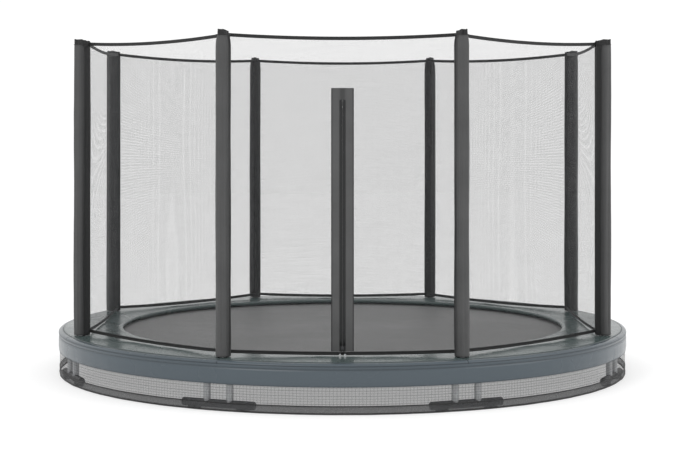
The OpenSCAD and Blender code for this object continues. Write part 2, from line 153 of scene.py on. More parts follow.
def build(name, patches, finish, body=None, sharp=None):
    """One object from patches, with its seams welded, painted and riding on a body."""
    starts = np.cumsum([0] + [len(p["v"]) for p in patches])
    faces = np.concatenate([p["f"] + start for p, start in zip(patches, starts)])
    verts, uvs = (np.concatenate([p[part] for p in patches]) for part in ("v", "uv"))
    mesh = bpy.data.meshes.new(name)
    mesh.from_pydata(verts.tolist(), [], faces.tolist())
    layer = mesh.uv_layers.new(name="cloth")
    layer.data.foreach_set("uv", uvs.astype(np.float32).ravel())
    for tone in patches[0]["t"]:
        values = np.concatenate([p["t"][tone] for p in patches]).astype(np.float32)
        mesh.attributes.new(tone, "FLOAT", "POINT").data.foreach_set("value", values)
    shape = bmesh.new()
    shape.from_mesh(mesh)
    bmesh.ops.remove_doubles(shape, verts=shape.verts, dist=1e-6)
    bmesh.ops.recalc_face_normals(shape, faces=shape.faces)
    shape.to_mesh(mesh)
    shape.free()
    mesh.shade_smooth()
    if sharp is not None:
        mesh.set_sharp_from_angle(angle=math.radians(sharp))
    mesh.materials.append(paint[finish])
    made = bpy.data.objects.new(name, mesh)
    bpy.context.scene.collection.objects.link(made)
    if body:
        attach(made, body)
    return made


def lengths(path):
    """How far along a path each of its points is."""
    return np.concatenate([[0], np.cumsum(np.linalg.norm(np.diff(path, axis=0), axis=1))])


def sweep(path, side, up, profile, closed=False):
    """A profile of (side, up) points carried along a path, with its ends closed in."""
    path, profile = np.asarray(path, float), np.asarray(profile, float)
    side, up = (np.broadcast_to(way, path.shape) for way in (side, up))
    points = path[:, None] + side[:, None] * profile[None, :, :1] + up[:, None] * profile[None, :, 1:]
    along = lengths(path)
    if closed:
        points = np.concatenate([points, points[:1]])
        along = np.append(along, along[-1] + np.linalg.norm(path[0] - path[-1]))
    else:
        middle = profile.mean(0)
        caps = [path[e] + side[e] * middle[0] + up[e] * middle[1] for e in (0, -1)]
        first, last = (np.repeat(c[None, None], len(profile), 1) for c in caps)
        points = np.concatenate([first, points, last])
        along = np.concatenate([along[:1], along, along[-1:]])
    return patch(points, lengths(np.vstack([profile, profile[:1]])), along, wrap=True)


def tube(path, radius, sides=8, closed=False):
    """A round rod along a path, with its section carried without twist."""
    path = np.asarray(path, float)
    way = unit(np.roll(path, -1, 0) - np.roll(path, 1, 0) if closed else np.gradient(path, axis=0))
    side = np.zeros_like(path)
    first = np.cross(way[0], UP)
    if np.linalg.norm(first) < 0.1:
        first = np.cross(way[0], RIGHT)
    side[0] = first / np.linalg.norm(first)
    for n in range(1, len(path)):
        s = side[n - 1] - way[n] * (side[n - 1] @ way[n])
        side[n] = s / np.linalg.norm(s)
    up = np.cross(side, way)
    a = np.linspace(0, math.tau, sides, endpoint=False)
    ring = np.stack([np.cos(a), np.sin(a)], 1)
    return sweep(path, side, up, ring * radius, closed)


def rounded(width, height, radius, steps=4):
    """The outline of a rectangle with round corners, about its own middle."""
    points = []
    for sx, sy, quarter in ((1, 1, 0), (-1, 1, 1), (-1, -1, 2), (1, -1, 3)):
        for n in range(steps + 1):
            a = math.pi / 2 * (quarter + n / steps)
            x = sx * (width / 2 - radius) + radius * math.cos(a)
            points.append((x, sy * (height / 2 - radius) + radius * math.sin(a)))
    return np.array(points)


def stitches(path, out, pitch=0.006, length=0.004, radius=0.00035):
    """Short raised threads along a path, each a small spindle lying on the surface."""
    at = lengths(path)
    count = int(at[-1] / pitch)
    starts = (np.arange(count) + 0.5) * pitch
    centre = np.stack([np.interp(starts, at, path[:, n]) for n in range(3)], 1)
    ahead = np.stack([np.interp(starts + 1e-4, at, path[:, n]) for n in range(3)], 1)
    way = unit(ahead - centre)
    out = np.broadcast_to(out, path.shape)
    lift = np.stack([np.interp(starts, at, out[:, n]) for n in range(3)], 1)
    side = np.cross(way, lift)
    patches = []
    for s in (-1, 0, 1):
        thick = radius * (0.35 if s else 1.0)
        ring = [centre + way * (s * length / 2) + side * (c * thick) + lift * (h * thick)
                for c, h in ((1, 0), (0, 1), (-1, 0), (0, -1))]
        patches.append(np.stack(ring, 1))
    points = np.stack(patches, 1)
    n, quads = len(points), []
    base = np.arange(n)[:, None] * 12
    for r in (0, 1):
        for c in range(4):
            d = (c + 1) % 4
            quads.append(base + [[r * 4 + c, r * 4 + d, r * 4 + 4 + d, r * 4 + 4 + c]])
    faces = np.concatenate([*quads, base + [[3, 2, 1, 0]], base + [[8, 9, 10, 11]]])
    uv = np.tile([[0, 0], [0.001, 0], [0.001, 0.001], [0, 0.001]], (len(faces), 1))
    return {"v": points.reshape(-1, 3), "f": faces, "uv": uv, "t": {}}


def ripple(*terms):
    """The sum of sine waves, each given as an amplitude and its argument."""
    return sum(size * np.sin(arg) for size, arg in terms)


def ease(x, low, high):
    """0 below low, 1 above high, and a smooth rise between them."""
    t = np.clip((np.asarray(x, float) - low) / (high - low), 0, 1)
    return t * t * (3 - 2 * t)


def line(distance, width):
    """1 on a line, and next to nothing at twice its width."""
    return np.exp(-((distance / width) ** 2))


# ------------ materials


class Paint:
    """A Principled material with short names for the nodes that feed it."""

    def __init__(self, name, **sockets):
        self.material = bpy.data.materials.new(name)
        self.material.use_nodes = True
        self.tree = self.material.node_tree
        self.tree.nodes.clear()
        self.shader = self._node("BsdfPrincipled")
        self._node("OutputMaterial", self.shader.outputs[0])
        coords = self._node("TexCoord")
        self.place, self.cloth = coords.outputs["Object"], coords.outputs["UV"]
        for socket, value in sockets.items():
            self.set(socket.replace("_", " "), value)

    def _node(self, kind, *values, **named):
        """A node with its first inputs, and any named ones, fed."""
        node = self.tree.nodes.new("ShaderNode" + kind)
        for socket, value in (*enumerate(values), *named.items()):
            self._feed(node, socket, value)
        return node

    def _feed(self, node, socket, value):
        if isinstance(value, bpy.types.NodeSocket):
            self.tree.links.new(value, node.inputs[socket])
        elif value is not None:
            node.inputs[socket].default_value = (*value, 1) if isinstance(value, tuple) else value

    def set(self, socket, value):
        self._feed(self.shader, socket, value)

    def math(self, kind, a, b=None):
        node = self._node("Math", a, b)
        node.operation = kind
        return node.outputs[0]

    def mix(self, share, a, b):
        node = self._node("Mix", share)
        node.data_type = "RGBA"
        self._feed(node, 6, a)
        self._feed(node, 7, b)
        return node.outputs[2]

    def span(self, value, a, b, low=0.0, high=1.0):
        return self._node("MapRange", value, a, b, low, high).outputs[0]

    def noise(self, scale, detail, stretch=None):
        where = self.place
        if stretch:
            scaled = self._node("VectorMath", where)
            scaled.operation = "MULTIPLY"
            scaled.inputs[1].default_value = stretch
            where = scaled.outputs[0]
        return self._node("TexNoise", Vector=where, Scale=scale, Detail=detail).outputs[0]

    def cells(self, scale):
        return self._node("TexVoronoi", Vector=self.place, Scale=scale).outputs["Color"]

    def tone(self, name):
        """A tone that patch() stored on the mesh."""
        node = self._node("Attribute")
        node.attribute_name = name
        return node.outputs["Fac"]

    def axes(self, where=None):
        """The parts of a place, or of the place on the cloth."""
        return self._node("SeparateXYZ", where or self.cloth).outputs

    def waves(self, pitch, where=None):
        """Yarns crossing over and under each other, from -1 to 1."""
        turn = math.tau / pitch
        sines = [self.math("SINE", self.math("MULTIPLY", axis, turn)) for axis in self.axes(where)[:2]]
        return self.math("MULTIPLY", *sines)

    def threads(self, pitch, width):
        """1 on the threads of an open mesh and 0 in its holes; both sizes are (across, along)."""
        lines = [self.math("LESS_THAN", self.math("PINGPONG", axis, p / 2), w / 2)
                 for axis, p, w in zip(self.axes()[:2], pitch, width)]
        return self.math("MAXIMUM", *lines)

    def bump(self, height, strength, distance):
        node = self._node("Bump", Strength=strength, Distance=distance, Height=height)
        self.set("Normal", node.outputs[0])
        return self


def shade(colour, k):
    return tuple(c * k for c in colour)


def floor_paint():
    p = Paint("studio_floor", Roughness=0.9, Specular_IOR_Level=0.1, Emission_Strength=0.42)
    p.set("Emission Color", (1.0, 1.0, 1.0))
    p.set("Base Color", p.mix(p.noise(0.7, 2.0), (0.59, 0.59, 0.59), (0.61, 0.61, 0.61)))
    return p.material


def cloth_paint(name, colour, pitch=0.0012, rough=0.75, sheen=0.15, depth=0.0003, fold=None):
    p = Paint(name, Sheen_Weight=sheen, Sheen_Roughness=0.4, Specular_IOR_Level=0.35)
    patchy = p.noise(6.0, 4.0)
    worn = p.noise(60.0, 3.0)
    tint = p.mix(p.span(patchy, 0.3, 0.7), shade(colour, 0.9), shade(colour, 1.08))
    # fold gives a tone stored on the mesh and the colour it mixes towards; on the sleeves this tone
    # includes painted shade.
    if fold:
        tint = p.mix(p.tone(fold[0]), tint, fold[1])
    yarn = p.waves(pitch)
    tint = p.mix(p.span(yarn, -1.0, 1.0, 0.0, 0.08), tint, shade(colour, 0.6))
    p.set("Base Color", tint)
    p.set("Roughness", p.span(worn, 0.2, 0.8, rough - 0.08, rough + 0.08))
    height = p.math("ADD", p.math("MULTIPLY", yarn, 0.5), p.math("MULTIPLY", worn, 0.6))
    return p.bump(height, 0.5, depth).material


def mesh_paint(name, colour, pitch, width, cover, plaid=None, waves=0.07):
    """Open knitted mesh: its threads let a little light by and its holes all of it.

    plaid adds heavier threads, as their pitch, their width and how solid they are.
    """
    p = Paint(name, Roughness=0.7, Specular_IOR_Level=0.2)
    wear = p.noise(5.0, 5.0, stretch=(1.0, 1.0, 16.0))
    p.set("Base Color", p.mix(p.span(wear, 0.3, 0.7), shade(colour, 0.85), shade(colour, 1.15)))
    threads = p.threads(pitch, width)
    solid = p.span(wear, 0.25, 0.75, cover * (1 - waves), cover * (1 + waves))
    alpha = p.math("MULTIPLY", threads, solid)
    if plaid:
        alpha = p.math("MAXIMUM", alpha, p.math("MULTIPLY", p.threads(*plaid[:2]), plaid[2]))
    p.set("Alpha", alpha)
    return p.material


def metal_paint(name, colour, rough, spangle=90.0, streak=0.06, metallic=1.0):
    p = Paint(name, Metallic=metallic)
    cells = p.cells(spangle)
    grey = p.axes(cells)[0]
    smear = p.noise(25.0, 5.0)
    tint = p.mix(p.span(grey, 0.0, 1.0), shade(colour, 0.88), shade(colour, 1.08))
    p.set("Base Color", p.mix(p.span(smear, 0.35, 0.8, 0.0, 0.35), tint, shade(colour, 0.7)))
    p.set("Roughness", p.math("ADD", p.span(grey, 0.0, 1.0, rough - streak, rough + streak),
                              p.span(smear, 0.3, 0.8, -0.04, 0.08)))
    return p.bump(p.math("ADD", smear, p.math("MULTIPLY", grey, 0.2)), 0.25, 0.0004).material


def plastic_paint(name, colour, rough, grain=900.0, depth=0.00015):
    p = Paint(name, Specular_IOR_Level=0.5)
    fine, broad = p.noise(grain, 2.0), p.noise(14.0, 4.0)
    p.set("Base Color", p.mix(p.span(broad, 0.3, 0.75), shade(colour, 0.85), shade(colour, 1.3)))
    p.set("Roughness", p.math("ADD", p.span(broad, 0.3, 0.7, rough - 0.05, rough + 0.07),
                              p.span(fine, 0.3, 0.7, -0.03, 0.03)))
    return p.bump(p.math("ADD", fine, p.math("MULTIPLY", broad, 0.5)), 0.35, depth).material


def vinyl_paint():
    """Glossy PVC sheet: greener on top, bluer down the side, darker in its seams, with painted shade in
    the crease under the rim and in the slits.
    """
    p = Paint("pad_vinyl", Specular_IOR_Level=0.28, Coat_Weight=0.1, Coat_Roughness=0.12)
    broad, fine = p.noise(2.5, 4.0), p.noise(420.0, 2.0)
    top, side = (0.064, 0.088, 0.086), (0.066, 0.084, 0.098)
    tint = p.mix(p.tone("side"), top, side)
    tint = p.mix(p.span(broad, 0.3, 0.75, 0.0, 0.25), tint, shade(side, 0.8))
    # The seam tone darkens the seams, joints and hem, and holds painted shade in the crease and the
    # slits.
    tint = p.mix(p.math("MULTIPLY", p.tone("seam"), 0.75), tint, (0.02, 0.025, 0.03))
    p.set("Base Color", tint)
    p.set("Roughness", p.math("ADD", p.span(broad, 0.25, 0.75, 0.22, 0.31),
                              p.math("MULTIPLY", p.tone("seam"), 0.3)))
    weave = p.waves(0.0022)
    height = p.math("ADD", p.math("MULTIPLY", weave, 0.35), fine)
    return p.bump(height, 0.06, 0.0002).material


def mat_paint():
    """Tight polypropylene weave with rows of stitching round the edge."""
    p = Paint("mat_weave", Specular_IOR_Level=0.4, Sheen_Weight=0.1, Sheen_Roughness=0.35)
    x, y, _ = p.axes(p.place)
    weave = p.waves(0.0034, p.place)
    slub = p.noise(5.0, 5.0, stretch=(1.0, 14.0, 1.0))
    worn = p.noise(1.6, 3.0)
    base = (0.101, 0.1013, 0.1015)
    tint = p.mix(p.span(slub, 0.3, 0.7), shade(base, 0.84), shade(base, 1.12))
    tint = p.mix(p.span(weave, -1.0, 1.0, 0.0, 0.45), tint, shade(base, 0.55))
    tint = p.mix(p.span(worn, 0.45, 0.8, 0.0, 0.18), tint, shade(base, 1.6))
    radius = p.math("SQRT", p.math("ADD", p.math("MULTIPLY", x, x), p.math("MULTIPLY", y, y)))
    row_gap, thread, edge_w = 0.007, 0.0007, 0.04
    row = p.math("LESS_THAN", p.math("PINGPONG", radius, row_gap), thread)
    edge = p.math("GREATER_THAN", radius, mat_r - edge_w)
    tint = p.mix(p.math("MULTIPLY", row, edge), tint, (0.3, 0.3, 0.3))
    p.set("Base Color", tint)
    p.set("Roughness", p.span(worn, 0.3, 0.7, 0.40, 0.50))
    return p.bump(p.math("ADD", weave, p.math("MULTIPLY", slub, 0.5)), 0.5, 0.0004).material


GREY, DARK, BLACK = (0.064, 0.0645, 0.065), (0.017, 0.0173, 0.0177), (0.012, 0.0123, 0.0126)
paint = {
    # The sleeve's inner tone darkens its inner half and crown, and adds painted shade on its sides and
    # a painted shadow at its foot.
    "sleeve": cloth_paint("sleeve_fabric", GREY, fold=("inner", DARK)),
    "door": cloth_paint("door_fabric", (0.072, 0.0725, 0.073), fold=("edge", DARK)),
    "webbing": cloth_paint("black_webbing", BLACK, pitch=0.0024, rough=0.62, sheen=0.04, depth=0.0006),
    "thread": cloth_paint("thread", (0.035, 0.036, 0.038), pitch=0.0006),
    "net": mesh_paint("net_mesh", (0.05, 0.051, 0.053), (0.0022, 0.003), (0.0004, 0.00078), 0.585,
                      waves=0.13),
    "skirt": mesh_paint("skirt_mesh", (0.06, 0.061, 0.063), (0.004, 0.004), (0.0011, 0.0011), 0.55,
                        ((0.0200, 0.0145), (0.0024, 0.0022), 0.62)),
    "hem": mesh_paint("hem_mesh", (0.066, 0.067, 0.069), (0.004, 0.004), (0.0034, 0.0034), 0.62,
                      waves=0.03),
    "vinyl": vinyl_paint(),
    "backing": cloth_paint("pad_backing", (0.05, 0.052, 0.055), pitch=0.003, rough=0.7),
    "mat": mat_paint(),
    "galvanised": metal_paint("galvanised_steel", (0.50, 0.51, 0.52), 0.50, metallic=0.55),
    "zinc": metal_paint("zinc_fasteners", (0.62, 0.61, 0.58), 0.32, spangle=400.0),
    "spring": metal_paint("spring_wire", (0.62, 0.63, 0.64), 0.28, spangle=500.0),
    "cap": plastic_paint("black_plastic", (0.014, 0.014, 0.015), 0.38),
    "foot": plastic_paint("foot_plastic", (0.03, 0.031, 0.033), 0.42, grain=500.0, depth=0.0003),
    "rubber": plastic_paint("black_rubber", (0.014, 0.014, 0.015), 0.72, grain=300.0, depth=0.0004),
    "teeth": plastic_paint("zip_teeth", (0.03, 0.0305, 0.031), 0.4),
    "slider": metal_paint("slider_metal", (0.075, 0.076, 0.08), 0.36, spangle=600.0),
    "chrome": metal_paint("chrome", (0.86, 0.86, 0.87), 0.1, spangle=700.0, streak=0.02),
    "floor": floor_paint(),
}

CARRIED = {
    "galvanised": ["rail_splices", "pole_brackets"]
    + [f"{part}_{k}" for part in ("rail", "leg", "pole") for k in range(1, SIDES + 1)],
    "zinc": ["splice_bolts", "leg_bolts", "u_bolts", "u_bolt_nuts", "pole_screws"],
    "cap": ["pole_caps", "top_rings"],
    "foot": ["foot_covers"],
    "rubber": ["foot_pads"],
}
for name, nodes in CARRIED.items():
    for node in nodes:
        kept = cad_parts[node]
        kept.data.materials.clear()
        kept.data.materials.append(paint[name])

# ------------ edge pad

# How far each pole's slit lies to one side of the pole's middle, and the radius where it does
SLIT_IN, slit_r = 0.010, pole_r + 0.06
SLITS = [a - math.copysign(SLIT_IN / slit_r, math.cos(a)) for a in POLES]


def wrap_gap(angle, targets):
    """The smallest turn from each angle to any of the targets."""
    gaps = np.asarray(angle)[:, None] - np.asarray(targets)[None]
    return np.abs((gaps + math.pi) % math.tau - math.pi).min(1)


def pad_profile():
    """The pad's section as (radius, height) points, from its inner edge over its top and down."""
    top, bend, strip_h = pad_top - 0.0005, 0.012, 0.0165
    inner = [(pad_in + bend - bend * math.cos(a), top - bend + bend * math.sin(a))
             for a in np.radians([0, 22, 45, 68, 90])]
    flat = [(r, top) for r in np.linspace(pad_in + 0.03, seam_r - 0.02, 22)]
    near = [(seam_r - d, top - g)
            for d, g in ((0.012, 0.0), (0.006, 0.0003), (0.0028, 0.0011), (0.0010, 0.0024),
                         (0.0002, 0.0040), (-0.0002, 0.0052))]
    strip = []
    for t in np.radians([3, 8, 20, 35, 50, 65, 78, 86]):
        swell = 0.0012 * math.sin(2 * t)
        strip.append((seam_r + (RIM_W + swell) * math.sin(t), seam_z + (strip_h + swell) * math.cos(t)))
    groove = [(pad_r - 0.0022, seam_z - 0.0002), (pad_r - 0.0028, seam_z - 0.0015)]
    drop = seam_z - pad_bottom
    side = []
    for s in [*np.linspace(0.03, 0.31, 13), *np.linspace(0.36, 0.985, 11)]:
        tuck = 0.0055 * math.exp(-(((s - 0.17) / 0.055) ** 2)) + 0.0035 * max(0, s - 0.75) / 0.25
        side.append((pad_r - 0.0004 - tuck, seam_z - drop * s))
    hem = [(pad_r - 0.0042, pad_bottom), (pad_r - 0.0058, pad_bottom + 0.0015)]
    lining = [(pad_r - 0.0065, z) for z in np.linspace(pad_bottom + 0.02, pad_under, 6)]
    under = [(r, pad_under) for r in np.linspace(pad_r - 0.03, pad_in + 0.006, 12)]
    return np.array(inner + flat + near + strip + groove + side + hem + lining + under)


def edge_pad():
    section = pad_profile()
    r, z = section.T
    fine = np.radians([-0.5, -0.2, -0.09, -0.05, -0.025, 0.0, 0.025, 0.05, 0.09, 0.2, 0.5])
    angles = np.concatenate([np.linspace(0, math.tau, 720, endpoint=False),
                             *[a + fine for a in SLITS], *[a + fine for a in POLES]])
    angles = np.unique(np.round(angles % math.tau, 6))
    slit = line(wrap_gap(angles, SLITS) * pad_r, 0.0016)
    joint = line(wrap_gap(angles, POLES) * pad_r, 0.0020)
    reach = ease(r, pole_r - 0.02, pole_r) * (z > seam_z - 0.003)
    on_top = (z > pad_top - 0.006) & (r < seam_r + 0.0005)
    loose = ease(r, pad_in, pad_in + 0.06) * (1 - ease(r, seam_r - 0.05, seam_r)) * on_top
    on_side = (r > pad_r - 0.006) & (z < seam_z) & (z > pad_bottom + 0.001)
    a, rr = angles[:, None], r[None]
    waves = ripple((0.0008, 23 * a + 9 * rr), (0.0003, 61 * a - 31 * rr), (0.00016, 97 * a + 47 * rr))
    lift = loose[None] * waves
    crown = on_top * 0.0018 * np.sin(np.clip((r - pad_in) / (seam_r - pad_in), 0, 1) * math.pi)
    pucker = (on_top * 0.0003 * line(r - seam_r, 0.02))[None] * np.sin(520 * a)
    hollow = 0.0045 * slit[:, None] * reach[None] + 0.0012 * joint[:, None] * on_top[None]
    tall = np.clip((seam_z - z) / (seam_z - pad_bottom), 0, 1)
    billow = ripple((0.0010, 31 * a), (0.0004, 73 * a + 1.7), (0.0002, 151 * a))
    billow = (on_side * tall)[None] * billow
    rim = (r > seam_r + 0.02)[None] * 1.0
    radius = rr + billow - hollow * rim
    height = z[None] + lift + crown[None] + pucker - hollow * (1 - rim)
    points = np.stack([radius * np.cos(a), radius * np.sin(a), height], -1)
    points = np.concatenate([points, points[:1]])
    top_seam = line(np.hypot(r - seam_r, z - pad_top + 0.0042), 0.0032)
    side_seam = line(np.hypot(r - pad_r, z - seam_z), 0.0030)
    hem = 0.8 * line(z - pad_bottom, 0.0045) * (r > pad_r - 0.006)
    # Painted shade in the crease under the rim seam.
    crease = 0.55 * line(z - seam_z + 0.0190, 0.0035) * (r > pad_r - 0.012) * (z < seam_z)
    lines = np.maximum.reduce([top_seam, side_seam, hem, crease])
    # The slits are darkened with painted shade too.
    seam = np.maximum(lines[None], slit[:, None] * reach[None])
    seam = np.maximum(seam, 0.5 * joint[:, None] * on_top[None])
    side = np.broadcast_to(ease(r, seam_r + 0.001, seam_r + 0.006), seam.shape)
    outline = np.vstack([section, section[:1]])
    body = patch(points, lengths(outline), np.append(angles, math.tau) * 1.75, wrap=True,
                 seam=np.vstack([seam, seam[:1]]), side=np.vstack([side, side[:1]]))
    pad = build("edge_pad", [body], "vinyl", "frame")
    pad.data.materials.append(paint["backing"])
    for face in pad.data.polygons:
        middle = face.center
        if middle.z < pad_under + 0.0015 and middle.xy.length < pad_r - 0.006:
            face.material_index = 1
    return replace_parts(pad, "pad_cover", "pad_foam", "pad_underside")


def ring_path(radius, height, count=1440):
    a = np.linspace(0, math.tau, count + 1)
    return turned(a, radius, 0.0, height), outward(a)


def pad_seams():
    """Stitching beside the two seams that run round the rim."""
    rows = []
    for radius, height, lean in ((seam_r - 0.0075, pad_top - 0.0004, 0.0),
                                 (seam_r + 0.0062, pad_top - 0.0046, 0.3),
                                 (pad_r - 0.0003, seam_z + 0.0042, 0.95),
                                 (pad_r - 0.0010, seam_z - 0.0062, 1.0)):
        path, out = ring_path(radius, height)
        rows.append(stitches(path, out * lean + UP * math.sqrt(1 - lean * lean)))
    return build("pad_stitching", rows, "thread", "frame")


edge_pad()
pad_seams()

# ------------ skirt


def skirt_wave(a, z):
    """How far the skirt stands out of its round at an angle and height."""
    free = np.clip((skirt_high.z - z) / (skirt_high.z - hem_low.z), 0, 1)
    return free * ripple((0.0009, 37 * a), (0.0007, 59 * a + 2.0), (0.0004, 113 * a + 0.6)) - 0.0004


def skirt():
    a = np.linspace(0, math.tau, 1080, endpoint=False)
    z = np.linspace(skirt_high.z, hem_high.z, 14)
    radius = skirt_r + skirt_wave(a[None], z[:, None])
    points = turned(a[None], radius, 0.0, z[:, None])
    round_it = np.append(a, math.tau) * skirt_r
    cloth = patch(points, round_it, z, wrap=True)
    sheet = build("skirt_cloth", [cloth], "skirt", "frame")
    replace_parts(sheet, "skirt_mesh")

    half = 0.0011
    shape = [(-half, 0.0)] + [(-half + 0.0001 * math.sin(9 * t), t) for t in np.linspace(0.05, 1.0, 6)]
    shape = np.array(shape + [(half, t) for t in np.linspace(1.0, 0.0, 7)])
    low, high = hem_low.z + 0.004, hem_high.z + 0.0008
    hem_z = low + (high - low) * shape[:, 1]
    radius = skirt_r + skirt_wave(a[:, None], hem_z[None]) + shape[None, :, 0]
    points = turned(a[:, None], radius, 0.0, hem_z[None])
    points = np.concatenate([points, points[:1]])
    hem = patch(points, np.append(hem_z, hem_z[0]), round_it, wrap=True)
    hem = build("skirt_hem_band", [hem], "hem", "frame")
    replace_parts(hem, "skirt_hem")

    path = turned(a, skirt_r + skirt_wave(a, hem_low.z + 0.004), 0.0, hem_low.z + 0.0042)
    out = outward(a)
    binding = sweep(path, out, UP, rounded(0.0054, 0.0084, 0.0024), closed=True)
    binding = build("skirt_binding", [binding], "webbing", "frame")

    rows = []
    for height in (high - 0.0030, high - 0.0075, low + 0.0075):
        path = turned(a, skirt_r + skirt_wave(a, height) + 0.0013, 0.0, height)
        whole = [np.vstack([ring, ring[:1]]) for ring in (path, out)]
        rows.append(stitches(*whole, pitch=0.0065, length=0.0048, radius=0.0006))
    rows.append(sweep(turned(a, skirt_r + skirt_wave(a, high) + 0.0002, 0.0, high - 0.001), out,
                      UP, rounded(0.0038, 0.0062, 0.0016), closed=True))
    seam = build("hem_stitching", rows, "webbing", "frame")


skirt()

# ------------ jumping mat, rings and springs


def mat():
    rings = np.linspace(0.0, 1.0, 40) ** 0.8 * mat_r
    a = np.linspace(0, math.tau, 288, endpoint=False)
    dip = 0.006 * (1 - (rings / mat_r) ** 2)
    points = turned(a[None], rings[:, None], 0.0, (mat_z + 0.0004 - dip)[:, None])
    cloth = patch(points, np.append(a, math.tau), rings, wrap=True)
    piece = build("jumping_mat", [cloth], "mat", "mat")
    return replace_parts(piece, "mat")


def mat_edge():
    """The webbing under the mat's edge and the loops that hold the rings."""
    a = np.linspace(0, math.tau, 360, endpoint=False)
    out, width = outward(a), 0.042
    path = turned(a, mat_r - width / 2, 0.0, mat_z - 0.0023)
    patches = [sweep(path, out, UP, rounded(width, 0.0022, 0.0009, 2), closed=True)]
    bar, round_bar, sewn = mat_r + RING_BAR, 0.0036, mat_r - 0.030
    wrap = [(bar + round_bar * math.cos(t), ring_z - mat_z + round_bar * math.sin(t))
            for t in np.radians([90, 60, 30, 0, -30, -60, -90])]
    wrap = np.array([(sewn, 0.0037), *wrap, (sewn, -0.0052)])
    for turn in SPRING_TURNS:
        path = turned(turn, wrap[:, 0], 0.0, mat_z + wrap[:, 1])
        way = np.gradient(path, axis=0)
        side = turned(turn, 0.0, 1.0, 0.0)
        lift = unit(np.cross(side, way))
        patches.append(sweep(path, side, lift, rounded(0.027, 0.0013, 0.0005, 2)))
    piece = build("mat_edge_webbing", patches, "webbing", "mat")
    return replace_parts(piece, "mat_webbing")


def mat_rings():
    """Triangular rings of round wire, one to each spring."""
    wire = 0.0021
    base, tip = mat_r + RING_BAR, mat_r + 0.0475
    corners = np.array([(base, -0.0205), (tip, -0.0042), (tip, 0.0042), (base, 0.0205)])
    path = []
    before, after = (unit(np.roll(corners, n, 0) - corners) for n in (1, -1))
    for corner, u, w in zip(corners, before, after):
        bend = 0.0045 if abs(corner[1]) < 0.01 else 0.007
        path += [corner + u * bend * (1 - t) ** 2 + w * bend * t ** 2 for t in np.linspace(0, 1, 5)]
    x, y = np.array(path).T
    patches = [tube(turned(turn, x, y, ring_z), wire, closed=True) for turn in SPRING_TURNS]
    piece = build("mat_rings", patches, "spring", "mat")
    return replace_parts(piece, "v_rings")


def spring_path():
    """One spring's wire: hook through the ring, the coil and the hook down into the rail."""
    turns, per_turn = 33, 10
    reach = COIL_R - WIRE_R
    bend = [(0.0075, 0.0102), (0.0045, 0.0112), (0.0012, 0.0100), (-0.0004, 0.0066), (0.0004, 0.0022),
            (0.0040, -0.0010), (0.0110, -0.0014)]
    hook = [(hook_r + x, 0.0, z) for x, z in bend]
    hook += [(coil_in - 0.0050, 0.0, -0.0010), (coil_in - 0.0010, -0.0045, 0.0)]
    coil = []
    for n in range(turns * per_turn + 1):
        t = math.tau * n / per_turn
        x = coil_in + WIRE_R + (coil_out - coil_in - 2 * WIRE_R) * n / (turns * per_turn)
        coil.append((x, -reach * math.cos(t), reach * math.sin(t)))
    end = [(coil_out + 0.0010, -0.0045, 0.0), (coil_out + 0.0050, 0.0, 0.0)]
    end += [(anchor_r - x, 0.0, -z)
            for x, z in ((0.0060, 0.0), (0.0018, 0.0010), (0.0, 0.0045), (0.0, 0.0165))]
    return np.array(hook + coil + end)


def springs():
    wire = spring_path()
    for n, turn in enumerate(SPRING_TURNS, 1):
        path = turned(turn, wire[:, 0], wire[:, 1], spring_z + wire[:, 2])
        piece = build(f"spring_{n:02d}", [tube(path, WIRE_R, 5)], "spring")
        start, end = (turned(turn, r, 0.0, spring_z) for r in (anchor_r - 0.012, hook_r + 0.012))
        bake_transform(piece)
        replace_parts(piece, "springs")


mat()
mat_edge()
mat_rings()
springs()

# ------------ pole sleeves


SEAM_AT = 1.70


